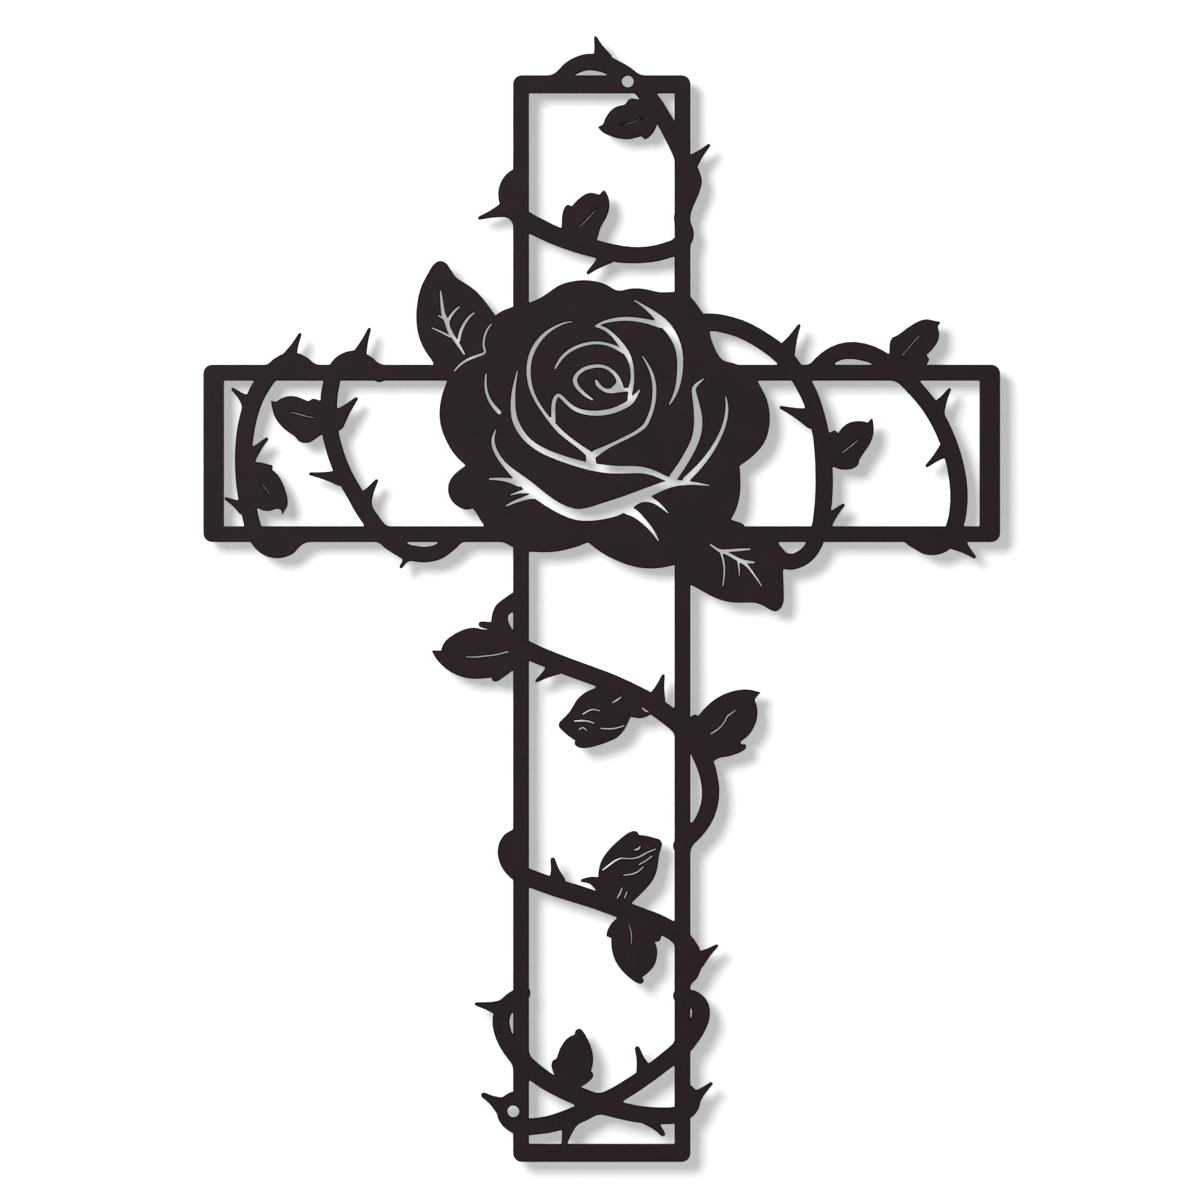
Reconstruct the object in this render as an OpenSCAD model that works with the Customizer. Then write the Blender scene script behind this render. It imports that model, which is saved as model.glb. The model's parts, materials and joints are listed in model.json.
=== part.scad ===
// Flat wall cross cut in one piece from steel plate: an open cross of narrow bars, a rose
// over its crossing, and thorny vines with leaves that weave over and under the bars.
//
// Millimetres. The pattern is drawn flat, as the cutting bed sees it, with x to the right,
// y up and 0, 0 at the middle of the crossing. The plate then stands up: front towards -Y,
// back in the plane y = 0, and the origin at the top hanging hole, on the back.

/* [Frame] */
// Width over both arms
frame_w = 318.6; // [250:0.2:400]
// Height of the crossing's middle above the foot
foot_h = 283.4; // [230:0.2:350]
// Height of the top end above the crossing's middle
top_h = 151.2; // [120:0.2:190]
// Width of each limb, over its two side bars
limb_w = 70.8; // [58:0.1:86]
// Width of the side bars
bar_w = 6.2; // [5:0.1:8]
// Width of the bars across the top and the foot
end_bar_w = 7; // [5:0.1:9]
// Width of the bars across the ends of the arms
arm_bar_w = 8; // [5:0.1:9]
// Radius of the frame's outer corners
corner_r = 3.4; // [0.5:0.1:6]

/* [Plate] */
// Thickness of the steel plate
plate_t = 3; // [2:0.1:6]
// Thickness of the powder coat on every cut edge
coat_t = 0.08; // [0.04:0.01:0.15]

/* [Vines] */
// Usual width of a vine
vine_w = 6.5; // [5:0.1:8]
// Width of a thorn's blunt tip
thorn_tip_w = 1.2; // [0.8:0.1:2]
// Width of the veins cut in the larger leaves of the lower limb
vein_w = 0.55; // [0.4:0.05:0.8]
// Width of the finest veins, one to each small leaf
fine_vein_w = 0.4; // [0.3:0.05:0.6]

/* [Rose] */
// How far the rose and its two leaves reach past the limbs' bars
rose_reach = 30.6; // [25:0.1:38]

/* [Hanging holes] */
// Diameter of both holes
hole_d = 4.7; // [3.5:0.1:6]
// Steel left around the foot's hole
lug_wall = 3.9; // [3:0.1:6]

/* [Hidden] */

steel = [0.176, 0.145, 0.149];

// Turn from one straight edge to the next along every curve, in degrees
facet_turn = 14;
corner_fn = 28;
bore_fn = 64;

// How far a hole's cutter runs past each face of the plate
cut_past = 1;

// A thorn narrows to its waist's share of the root's width this far along
waist_at = 0.55;

// The pattern is drawn on a cross of this size, and each point then moves with the bars
drawn_arm = 159.3;
drawn_foot = 283.4;
drawn_top = 151.2;
drawn_half = 35.4;
drawn_reach = 30.6;
drawn_vine_w = 6.5;

arm = frame_w / 2;
half = limb_w / 2;
vine_scale = vine_w / drawn_vine_w;
rose_scale = limb_w / (2 * drawn_half);

// ---- Where things go ----

// Moves a drawn distance from the crossing: up to the bar it grows with the limb's width,
// and past the bar it follows the limb's own length
function stretch(v, drawn_end, end) =
    let (m = abs(v))
    m <= drawn_half
        ? v * half / drawn_half
        : sign(v) * (half + (m - drawn_half) * (end - half) / (drawn_end - drawn_half));

// A drawn point on the cross of the sizes above. Any third number rides along.
function on_frame(p) = [
    stretch(p.x, drawn_arm, arm),
    p.y > 0 ? stretch(p.y, drawn_top, top_h) : stretch(p.y, drawn_foot, foot_h),
    for (i = [2:1:len(p) - 1]) p[i]
];

// The same for the rose, which reaches its own distance past the bars
function on_rose(p) = [
    stretch(p.x, drawn_half + drawn_reach, half + rose_reach),
    stretch(p.y, drawn_half + drawn_reach, half + rose_reach),
    for (i = [2:1:len(p) - 1]) p[i] * rose_scale
];

// The top hole is in the end bar, under the vine's arch; the foot's is on the left side bar
top_hole = on_frame([10.4, 148.85]);
foot_hole = on_frame([-35.4, -263.3]);

// ---- Curves ----

// Heading of a curve at b, between its neighbours a and c
function heading(a, b, c) =
    let (before = max(norm(b - a), 0.01), after = max(norm(c - b), 0.01))
    (after * (b - a) / before + before * (c - b) / after) / (before + after);

// The neighbour of point i, k places on, or its mirror image past the curve's end
function neighbour(p, i, k) =
    (i + k < 0 || i + k > len(p) - 1) ? 2 * p[i] - p[i - k] : p[i + k];

// Part t of the way from b to c, leaving along u and arriving along v
function between(b, c, u, v, t) =
    (2 * pow(t, 3) - 3 * t * t + 1) * b + (pow(t, 3) - 2 * t * t + t) * u
    + (3 * t * t - 2 * pow(t, 3)) * c + (pow(t, 3) - t * t) * v;

// Angle between two flat directions, 0 to 180
function turn(u, v) = abs(atan2(u.x * v.y - u.y * v.x, u.x * v.x + u.y * v.y));

// Smooth curve through the points, in straight edges no coarser than facet_turn
function curve(p) = [
    for (i = [0:len(p) - 2])
        let (
            b = p[i],
            c = p[i + 1],
            u = norm(c - b) * heading(neighbour(p, i, -1), b, c),
            v = norm(c - b) * heading(b, c, neighbour(p, i + 1, 1)),
            edges = max(1, round((turn(u, c - b) + turn(c - b, v)) / facet_turn))
        )
        for (k = [0:edges - 1]) between(b, c, u, v, k / edges),
    p[len(p) - 1]
];

// Closed outline of smooth runs that meet at corners, each run a list of points
module shape(runs) {
    polygon([for (run = runs) each curve(run)]);
}

// Edges in the round end of a band: the narrower the band, the fewer
function end_edges(w) = w < 1 ? 2 : w < 2.6 ? 4 : 6;

// Points of a band's round end, without its two corners, facing out at the given angle
function round_end(p, facing) = [
    for (k = [1:end_edges(p.z) - 1])
        let (a = facing + 90 - 180 * k / end_edges(p.z))
        [p.x, p.y] + p.z / 2 * [cos(a), sin(a)]
];

// Band along [x, y, width] points, with round ends
module band(path) {
    line = curve(path);
    last = len(line) - 1;
    facing = [
        for (i = [0:last])
            let (along = line[min(i + 1, last)] - line[max(i - 1, 0)])
            atan2(along.y, along.x)
    ];
    side = [for (i = [0:last]) line[i].z / 2 * [-sin(facing[i]), cos(facing[i])]];
    polygon(concat(
        [for (i = [0:last]) [line[i].x, line[i].y] + side[i]],
        round_end(line[last], facing[last]),
        [for (i = [last:-1:0]) [line[i].x, line[i].y] - side[i]],
        round_end(line[0], facing[0] + 180)
    ));
}

// ---- Vines, thorns and leaves ----

// A vine: points with its width there, as drawn
module vine(path) {
    band([for (p = path) let (q = on_frame(p)) [q.x, q.y, p[2] * vine_scale]]);
}

// A thorn from its root on a vine's middle line to its blunt tip. It keeps its own length.
module thorn(root, tip, root_w = 6, tip_w = thorn_tip_w, waist = 0.42) {
    foot = on_frame(root);
    point = foot + tip - root;
    middle = foot + (tip - root) * waist_at;
    band([
        [foot.x, foot.y, root_w * vine_scale],
        [middle.x, middle.y, root_w * waist * vine_scale],
        [point.x, point.y, tip_w]
    ]);
}

// A leaf keeps its own size and moves with its stalk's place on the vine
module on_stalk(stalk) {
    shift = on_frame(stalk) - stalk;
    translate(shift) children();
}

// Cut veins, each a list of points
module veins(stalk, paths, width = vein_w) {
    on_stalk(stalk)
        for (path = paths) band([for (p = path) [p.x, p.y, width * (len(p) > 2 ? p[2] : 1)]]);
}

// ---- Frame ----

// The cross's whole area, drawn in by the width of each bar
module cross_area(side = 0, end = 0, arm_end = 0) {
    square_from([-half + side, -foot_h + end], [half - side, top_h - end]);
    square_from([-arm + arm_end, -half + side], [arm - arm_end, half - side]);
}

module square_from(low, high) {
    translate(low) square(high - low);
}

module frame_bars() {
    difference() {
        offset(r = corner_r, $fn = corner_fn) offset(delta = -corner_r) cross_area();
        cross_area(bar_w, end_bar_w, arm_bar_w);
    }
}

// ---- Top limb ----

top_leaf_stalk = [19, 137];
side_leaf_stalk = [-8, 84];

module top_vines() {
    vine([
        [-17.5, 149, 5.6], [-12.6, 154, 6.2], [-6, 156.7, 6.4], [2.5, 155.4, 6.8], [9.5, 151.6, 7],
        [16, 146, 6.6], [21.3, 139.4, 6.6], [25.9, 132, 6.4], [29.8, 124.3, 6.4], [33.6, 116, 6.5],
        [37, 109, 6.6], [33.8, 100.5, 6.2], [31.8, 94, 6], [33.7, 87, 6.6], [29, 82.2, 6.4],
        [22, 80, 6.3], [15, 79.2, 6.3], [8, 79.6, 6.6], [0, 81.2, 6.9], [-10, 83.9, 7.1],
        [-20, 87.7, 7.3], [-29, 92.2, 7.4], [-35.5, 97.5, 7.2], [-38.2, 104, 6.6],
        [-36, 109.5, 6.4], [-32.5, 112, 6]
    ]);
    thorn([0.2, 158], [-2.5, 166.3], 7.8);
    thorn([36, 116.6], [42.8, 123.2], 6);
    thorn([-38.5, 97.7], [-48.9, 94.2], 6.2);
    thorn([2.2, 79], [-5.5, 72.3], 6.6);
}

module top_leaves() {
    on_stalk(top_leaf_stalk) {
        shape([
            [[-1.5, 130.7], [0.5, 131.5], [1.2, 133.5], [3, 136.5], [6, 138.8], [9.5, 139.5]],
            [[9.5, 139.5], [10.5, 141.3], [12, 142], [14, 141.7], [17, 141]],
            [[22, 137], [22, 131.3], [19.8, 127.5], [17, 125.9], [16, 127]],
            [[16, 127], [14, 126.5], [11, 125.7], [7, 126], [3, 127.2], [0, 128.8], [-1.5, 130.7]]
        ]);
    }
    on_stalk(side_leaf_stalk) {
        shape([
            [[-17, 85], [-16, 89.8], [-15.9, 94], [-15.2, 97.6], [-13.7, 99.4], [-12, 98.8]],
            [[-12, 98.8], [-9.6, 101.6], [-6.7, 103.6], [-4, 104.3], [-0.8, 103.5]],
            [[-0.8, 103.5], [0.8, 105.2], [2.4, 103], [3.1, 100], [2.8, 97], [1.6, 94], [-0.4, 91],
                [-2.4, 84]]
        ]);
    }
}

module top_veins() {
    veins(top_leaf_stalk, [[[5, 131], [10, 131.8], [14, 133], [18, 135.2]]], fine_vein_w);
    veins(side_leaf_stalk, [[[-11.5, 88.5], [-8, 91.5], [-4, 95.5], [-0.5, 100]]], fine_vein_w);
}

// ---- Left arm ----

left_leaf_stalk = [-141, -13];
left_wide_leaf_stalk = [-110, 15];

module left_vines() {
    vine([
        [-115.5, 32, 6], [-119.3, 35.7, 6.2], [-124, 37.4, 6.2], [-129.4, 35.2, 6.5],
        [-133.7, 30.6, 6.7], [-137.4, 25.3, 6.8], [-140.2, 19, 6.8], [-142.3, 11, 6.8],
        [-143.3, 3, 6.7], [-143.5, -5, 6.6], [-143, -13, 6.4], [-141.8, -20, 6.3],
        [-140, -28, 6.3], [-138, -33.5, 6.3], [-134.2, -37.6, 6.5], [-130, -38.6, 6.8],
        [-125.7, -37.7, 6.5], [-121, -33, 6]
    ]);
    thorn([-125, 38.5], [-120.8, 47.6], 5.6);
    thorn([-141.5, 20.5], [-147.6, 25.7], 5.5);
    thorn([-141.3, -1.5], [-134.1, 5.8], 6.2);
    thorn([-143.3, -21.7], [-150.3, -18.1], 5.8);
    vine([
        [-89, 31.5, 6], [-94, 36.1, 6.3], [-99.5, 38, 6.4], [-104.7, 35.6, 6.5],
        [-107.8, 30, 6.5], [-109.2, 23, 6.5], [-109.3, 15, 6.5], [-108.4, 7, 6.5],
        [-106.3, -1, 6.5], [-103.3, -8.5, 6.5], [-99.5, -15, 6.5], [-95.4, -22.3, 6.7],
        [-90.5, -29.3, 6.7], [-84.5, -35.5, 6.6], [-78, -39.6, 6.4], [-71.5, -40.6, 6.2],
        [-65, -39.3, 6.2], [-60, -35.5, 6], [-57.5, -32.5, 6]
    ]);
    thorn([-97, 39.3], [-93, 49.7], 5.6);
    thorn([-106.7, 13], [-98.2, 21.9], 8.4);
    thorn([-104.7, -9.8], [-116.5, -8.2], 6.4);
    thorn([-95.5, -19], [-90.1, -10.9], 7);
    thorn([-77.8, -41.5], [-80.3, -45.4], 3.6);
}

module left_leaves() {
    on_stalk(left_leaf_stalk) {
        shape([
            [[-143, -3], [-139, -3.4], [-136, -3.7], [-133.5, -4.4], [-131.8, -5], [-132, -6.5]],
            [[-132, -6.5], [-129.7, -8.5], [-127.6, -12], [-126, -17], [-125.8, -21], [-127.9, -24.4]],
            [[-127.9, -24.4], [-128.4, -22.5], [-130, -22.2]],
            [[-130, -22], [-133, -23], [-136, -22.7], [-139, -21], [-142, -19]]
        ]);
    }
    on_stalk(left_wide_leaf_stalk) {
        shape([
            [[-132.3, 21.2], [-130.5, 20.6], [-128.8, 21.7]],
            [[-128.8, 21.7], [-126, 22.8], [-122, 22.7], [-119, 21.5], [-117.5, 20.8]],
            [[-117.5, 21], [-115.5, 21.9], [-113, 21.2], [-108, 21]],
            [[-108, 8], [-112, 7.8], [-114, 6.3], [-116.5, 4.6], [-119, 4.2], [-121.5, 5.2],
                [-122.5, 6.7]],
            [[-122.5, 6.7], [-124.5, 8], [-127, 9.7], [-129.5, 12.4], [-131.2, 15.4], [-132, 19],
                [-132.3, 21.2]]
        ]);
    }
}

module left_veins() {
    veins(left_leaf_stalk, [[[-138, -10], [-134.5, -14], [-131, -19]]], fine_vein_w);
    veins(left_wide_leaf_stalk, [[[-127, 17], [-122, 16], [-117, 14.5], [-113, 14]]], fine_vein_w);
}

// ---- Right arm ----

right_leaf_stalk = [89, 1];
right_arch_leaf_stalk = [115, 36];

module right_vines() {
    vine([
        [36, 52.3, 6.8], [46, 52.5, 7], [55, 50.3, 7], [61.9, 46.8, 7], [69, 42, 6.9],
        [75.2, 36.2, 6.8], [79.8, 29.7, 6.8], [83.3, 23, 6.7], [86.1, 15, 6.5], [87.9, 7, 6.5],
        [88.8, -2, 6.7], [89.1, -12, 6.9], [88.7, -20, 6.7], [87.6, -28, 6.4], [85.5, -35.5, 6.2],
        [82, -40.7, 6.4], [76, -43.5, 6.4], [70, -42.5, 6.4]
    ]);
    thorn([73.5, 40.2], [78.9, 51.1], 8);
    thorn([84.2, 14], [71.8, 18.4], 8.4);
    thorn([89.5, -27.2], [96.6, -20.7], 6.6);
    vine([
        [84, 32, 6], [89.8, 38, 6.4], [95.5, 40.9, 6.6], [101, 41.4, 6.9], [108, 39.8, 6.8],
        [114, 36.5, 6.4], [120, 31.5, 6.3], [126, 25.5, 6.3], [131, 19.5, 6.3], [135.5, 12, 6.3],
        [139, 4, 6.5], [141.4, -4, 6.7], [142.8, -12, 6.8], [143.1, -19, 6.8], [142.2, -26, 6.7],
        [140.1, -32.5, 6.5], [136, -36.8, 6.3], [130, -37.4, 6.3], [124, -34, 6]
    ]);
    thorn([134.2, 17.6], [139.1, 25.5], 6.6);
    thorn([138, 1.8], [130.2, -4.9], 6.4);
    thorn([142, -35.2], [149.1, -41.4], 7.6);
}

module right_leaves() {
    on_stalk(right_leaf_stalk) {
        shape([
            [[88, 7], [91, 8], [92.3, 8.9], [93.4, 9.1], [94.5, 8]],
            [[94.5, 8], [96, 10], [99, 12.3], [102, 13], [105, 12.7], [106.5, 12.3]],
            [[106.5, 12.3], [108.2, 14.3]],
            [[108.2, 14.3], [108.7, 11.5], [108.8, 8], [107.5, 4], [105, 0.5], [103, -2.5]],
            [[103, -2.5], [102.7, -4.3], [101, -5.8], [98, -6.5], [95, -6.3], [92.5, -5.2], [88, -3]]
        ]);
    }
    on_stalk(right_arch_leaf_stalk) {
        shape([
            [[115, 34], [115.2, 41], [115.3, 44], [116.4, 46.4], [118.5, 47.2]],
            [[118.5, 47.2], [122, 50], [126, 52.5], [130, 53.7], [133, 53], [135.7, 52.5]],
            [[135.7, 52.5], [134.4, 51], [135, 48], [134.3, 44.5], [132.3, 41.6], [129.8, 39.3]],
            [[129.8, 39.3], [131, 37.7], [130.2, 36], [128, 32]]
        ]);
    }
}

module right_veins() {
    veins(right_leaf_stalk, [[[94.5, -1], [98, 1.5], [101, 4], [104, 6.5]]], fine_vein_w);
    veins(right_arch_leaf_stalk, [[[120, 39], [123.5, 43], [127, 47]]], fine_vein_w);
}

// ---- Lower limb ----

curl_leaf_stalk = [-37, -77];
low_leaf_stalk = [8, -94];
loop_leaf_stalk = [38, -112];
up_leaf_stalk = [4, -178];
down_leaf_stalk = [13, -186];
foot_leaf_stalk = [-14, -253];

// One long vine, in three stretches, each from one side bar over to the other
module lower_vines() {
    vine([
        [-32.5, -57.2, 5.8], [-36.5, -60, 6.2], [-39.8, -62.6, 6.4], [-40.9, -66.7, 6.6],
        [-39, -71.8, 6.8], [-35, -76, 7], [-29.9, -78.7, 7.2], [-25, -80.9, 6.9],
        [-20, -82.9, 6.9], [-13, -85.6, 6.9], [-5, -88.5, 6.9], [3, -91.4, 6.9],
        [10, -94.7, 7.1], [17, -98.3, 7.3], [24, -103, 7.4], [29.3, -107, 7.4],
        [34.5, -112.3, 7.2], [38.8, -119, 6.8], [42.1, -126, 6.9], [43.8, -134, 7],
        [43.2, -141, 6.8], [40.8, -147, 6.6], [37.3, -151.6, 6.3], [31.5, -157, 6]
    ]);
    vine([
        [-33, -152.5, 6], [-37, -155, 6.4], [-38.5, -159.8, 6.4], [-36.6, -165, 6.6],
        [-31.5, -169, 6.9], [-25, -171.4, 7], [-18, -173.9, 7], [-10, -176.3, 7.1],
        [-2, -178.9, 6.9], [6, -181.8, 7], [14, -184.8, 7.1], [22, -187.7, 7.1],
        [29.3, -191.6, 7.2], [34, -196.3, 6.9], [36.9, -202.2, 6.8], [35.6, -208, 6.5], [32, -211.8, 6]
    ]);
    vine([
        [-31.5, -216, 6], [-36.2, -219, 6.4], [-39.5, -223.4, 6.7], [-40.4, -228.4, 6.8],
        [-39.3, -233, 6.8], [-36.5, -238, 6.9], [-33, -242.2, 7.1], [-28, -246.9, 7.2],
        [-22, -251.3, 7], [-15, -254.8, 7.2], [-8, -257.8, 7.4], [-1, -260.4, 7.2],
        [6, -262.6, 6.7], [13, -264.2, 6.5], [20, -265.1, 6.6], [27, -265.1, 6.5],
        [33, -263.7, 6.4], [36.2, -260.4, 6.2], [35.8, -256.8, 5.6], [32, -254, 5.4]
    ]);
    vine([
        [31.5, -217, 6], [36.5, -218.2, 6.6], [39.5, -221.6, 7.1], [39.4, -226.5, 7.2],
        [37.3, -231.3, 7], [33.7, -236.2, 6.8], [29.2, -240.3, 6.8], [22, -246, 6.6],
        [14, -251.8, 6.6], [6.2, -256.7, 6.6], [-1, -260.2, 6.8], [-8, -263.9, 7],
        [-15, -266.8, 7], [-22, -268.8, 6.5], [-29, -269.5, 6.5], [-34.9, -268.7, 6.4],
        [-38.3, -265.4, 6.4], [-38.8, -261.2, 5.8], [-36, -258.3, 5.2], [-32, -257, 5]
    ]);
}

module lower_thorns() {
    thorn([-43, -69.4], [-48.1, -68.4], 4, 2.4, 0.7);
    thorn([-18.6, -85.5], [-26, -91], 6.8);
    thorn([21.9, -98.5], [24.6, -89], 7.4);
    thorn([-17.9, -171], [-19.6, -162.6], 6.6, 1.8);
    band([for (p = [[3, -175.5, 7.5], [-1.5, -171.9, 5], [-4.5, -170.7, 2.7], [-7.9, -170.9, 1]])
        on_frame(p)]);
    thorn([38.3, -202.8], [46, -197.1], 6.8);
    thorn([-40, -222.3], [-50.2, -220.3], 7);
    thorn([-39.8, -261.2], [-47.3, -256.8], 7.4, 2);
    thorn([17.1, -247.3], [14.2, -238.2], 6.8, 1.9);
    thorn([36.8, -258.2], [43.8, -252.2], 5.8);
    thorn([-12.9, -267.2], [-15.2, -277], 6.8, 1.9, 0.5);
    thorn([19.3, -266], [24.4, -272.3], 7, 1.9);
}

module lower_leaves() {
    on_stalk(curl_leaf_stalk) {
        shape([
            [[-40, -71], [-48, -70.4], [-50.5, -69.7], [-54, -70], [-58.3, -71.8], [-62, -74.5],
                [-63.8, -77.2], [-64.2, -78.9]],
            [[-64.2, -78.9], [-67.8, -78.9]],
            [[-67.8, -79.3], [-66.4, -82], [-62.7, -86.1], [-57.3, -89.2], [-51.5, -90.4],
                [-44, -89.7]],
            [[-44, -89.7], [-43.8, -90.8], [-42.7, -91.3], [-39.6, -89.8], [-36.4, -87.4],
                [-32, -84]]
        ]);
    }
    on_stalk(low_leaf_stalk) {
        shape([
            [[4, -91], [-1.9, -93.6], [-6.2, -95.4], [-10.3, -99], [-12.5, -103.3], [-17, -107.7]],
            [[-17, -107.7], [-17.2, -109], [-16.3, -110.3]],
            [[-16.3, -110.3], [-13.7, -112.8], [-10.5, -114.8]],
            [[-10.5, -114.8], [-10.8, -116.2], [-9.6, -117.4], [-5, -117.7], [0, -116.4],
                [5.8, -114], [9.5, -109.9], [11.5, -105.4]],
            [[11.5, -105.4], [15, -106], [18, -105.3], [20.5, -103.5], [20, -98]]
        ]);
    }
    on_stalk(loop_leaf_stalk) {
        shape([
            [[32, -107], [35.4, -105.7], [37.1, -104.5], [38.7, -105.1]],
            [[38.7, -105.1], [40.2, -103.1], [43.6, -99.6], [48.8, -96.2], [54.5, -94.6],
                [59, -94.4], [63.4, -95.6]],
            [[63.4, -95.8], [62.3, -96.9], [61.1, -98.5]],
            [[61.1, -98.5], [62.2, -101.5], [62.3, -105.5], [61.1, -109.4], [58.5, -113.2],
                [55.4, -115.4]],
            [[55.4, -115.4], [55.8, -116.3], [57.6, -116.6], [57.6, -117.9], [55.1, -119.7],
                [51, -121.2], [46.5, -121.9], [44.8, -123.2]],
            [[42, -124], [37, -119], [32, -113]]
        ]);
    }
    on_stalk(up_leaf_stalk) {
        shape([
            [[1, -180], [-1, -173], [-1.4, -168.4], [-0.7, -164], [1.9, -159.6], [5.7, -155.8],
                [9.5, -152.6], [12.5, -151.2], [14.2, -151.5], [14.8, -152.7]],
            [[14.8, -152.7], [18.3, -153.1], [23.1, -154.5]],
            [[23.1, -154.5], [24.1, -156], [23.7, -157.9], [22.9, -160.5], [22.3, -165.9],
                [20.9, -170.3], [17.6, -174.3], [11.6, -180.2], [5, -185]]
        ]);
    }
    on_stalk(down_leaf_stalk) {
        shape([
            [[10, -183], [6.7, -185.5], [3.7, -188.2], [2.4, -190.8], [2.1, -193.2], [3.8, -193.8]],
            [[3.8, -193.8], [3.9, -198.2], [5.3, -203.2], [8.8, -207.9], [13, -211.2],
                [15.8, -212.1], [16.8, -211.2], [16.1, -209.6]],
            [[16.1, -209.6], [18.3, -208], [20.6, -205.6], [22.1, -201.3], [22.2, -198.3],
                [21.1, -195.3]],
            [[21.1, -195.3], [22.9, -195.2], [23.6, -194], [24, -192], [24, -188]]
        ]);
    }
    on_stalk(foot_leaf_stalk) {
        shape([
            [[-17, -252], [-19.1, -248.2], [-20.1, -245], [-19.7, -243.2], [-18, -242.2]],
            [[-18, -242.2], [-16.8, -238.3], [-14.6, -234.9], [-12.8, -233.4], [-10.8, -232.6]],
            [[-10.8, -232.6], [-10.4, -231], [-9, -230.3], [-6.7, -232.6], [-4.6, -236.5],
                [-3.4, -241.2], [-3.5, -244.2], [-4.3, -247.2]],
            [[-4.3, -247.2], [-3.4, -248.6], [-4, -250.2], [-6, -252], [-9.5, -254.4], [-9, -258]]
        ]);
    }
}

module lower_veins() {
    veins(curl_leaf_stalk, [
        [[-56.5, -81, 0.6], [-52, -81.7], [-47, -81.1], [-42, -80.6], [-37.5, -79.3]]
    ]);
    veins(low_leaf_stalk, [
        [[-7.6, -104.4], [-5.1, -102.8, 1.3], [-2.8, -102.4], [-0.8, -103]],
        [[-11, -107.1], [-7.7, -106.9, 1.5], [-5, -107.2, 1.4], [-3, -108]],
        [[-9.1, -110.5], [-7.7, -109.7, 1.2], [-6, -110.8]],
        [[-0.5, -110], [2.9, -110.3, 1.2], [5.8, -110, 1.2], [9, -108.9]],
        [[4.2, -99.8], [5.8, -98.9, 1.7], [7.7, -97.5]],
        [[16.2, -101.8], [17.3, -102.9, 1.4], [18.6, -103.4]]
    ]);
    veins(loop_leaf_stalk, [
        [[43.6, -112.2], [45.7, -111, 1.3], [47.4, -109.6], [49.1, -107.6], [50.3, -105.1, 1.2],
            [52.5, -103.6], [54.6, -101.8, 0.7]]
    ]);
    veins(up_leaf_stalk, [
        [[0.3, -166.8], [3.1, -164.6, 1.5], [5.7, -162.7, 1.5], [7.8, -161.9], [10.5, -162.2],
            [13.3, -162.1, 1.2], [15.8, -161.1, 1.5], [18.3, -159.6, 1.2], [21.5, -158.3]],
        [[14.8, -164.6], [17.7, -163, 1.2], [20.2, -161.1]],
        [[8.6, -168.8], [12, -168.4, 1.3], [15.2, -166.9, 1.2], [16.6, -165.4]],
        [[13, -158.7], [14.6, -158.3, 1.8], [15.4, -157.3]],
        [[6.1, -178], [7.4, -176, 1.5], [8.1, -173.8]],
        [[9.1, -177.9], [10.1, -175.4]]
    ]);
    veins(down_leaf_stalk, [
        [[10, -187.2, 0.7], [11.5, -190], [12.1, -194], [11.3, -199, 0.7]]
    ], fine_vein_w);
}

// ---- Rose ----

// Outer edge of the petals, from notch to notch
petal_runs = [
    [[-43, 54.8], [-40, 57], [-35, 58.8], [-29.5, 60], [-24, 62.3], [-18, 66.7], [-15, 68.1],
        [-10, 69.2], [-5, 69.3], [0, 68.3], [3, 66.9], [5.3, 65.2]],
    [[5.3, 65.2], [8, 65], [11, 65.9], [15, 66.1], [19, 65.4], [23, 64.3], [29, 64.6],
        [33, 64], [37, 61], [40.5, 56]],
    [[42.6, 52], [43.6, 46], [45.9, 40.2], [48.3, 37]],
    [[48.3, 37], [53, 36], [58, 33.6], [62, 29.5], [66, 22], [67.3, 13],
        [65, 4], [61, -0.8], [55.1, -5]],
    [[55.1, -5], [55.6, -12], [55.1, -18], [53.6, -23], [51.5, -26.5]],
    [[51.5, -26.5], [57, -28.7], [50, -33], [43, -37], [36, -41.5], [28.8, -44.7]],
    [[28.8, -44.7], [24, -45.8], [19, -46.1], [15, -45.7], [10, -44.5], [5, -42.4], [0, -39.9],
        [-5.5, -35.5]],
    [[-5.5, -35.5], [-9, -37], [-14, -38.5], [-20, -39.6], [-29.5, -39.3], [-36, -37.3],
        [-40, -35]],
    [[-40, -35], [-44.5, -31.8], [-48, -27.5], [-50, -24], [-51.5, -22]],
    [[-51.5, -22], [-54, -22.5], [-57, -21.5], [-60, -19], [-61.5, -15], [-60.8, -11],
        [-58, -7.5], [-54.3, -4.8]],
    [[-54.3, -4.8], [-57, -2.5], [-60, 1], [-62.5, 5.5], [-64.5, 11], [-65, 16], [-64.5, 21],
        [-63, 26], [-60.5, 32]],
    [[-60.5, 32], [-57.5, 36.4], [-53, 38.8], [-48.3, 41.2]],
    [[-48.3, 41.2], [-48.6, 44], [-47.5, 48.5], [-45.6, 52.2], [-43, 54.8]]
];

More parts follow.
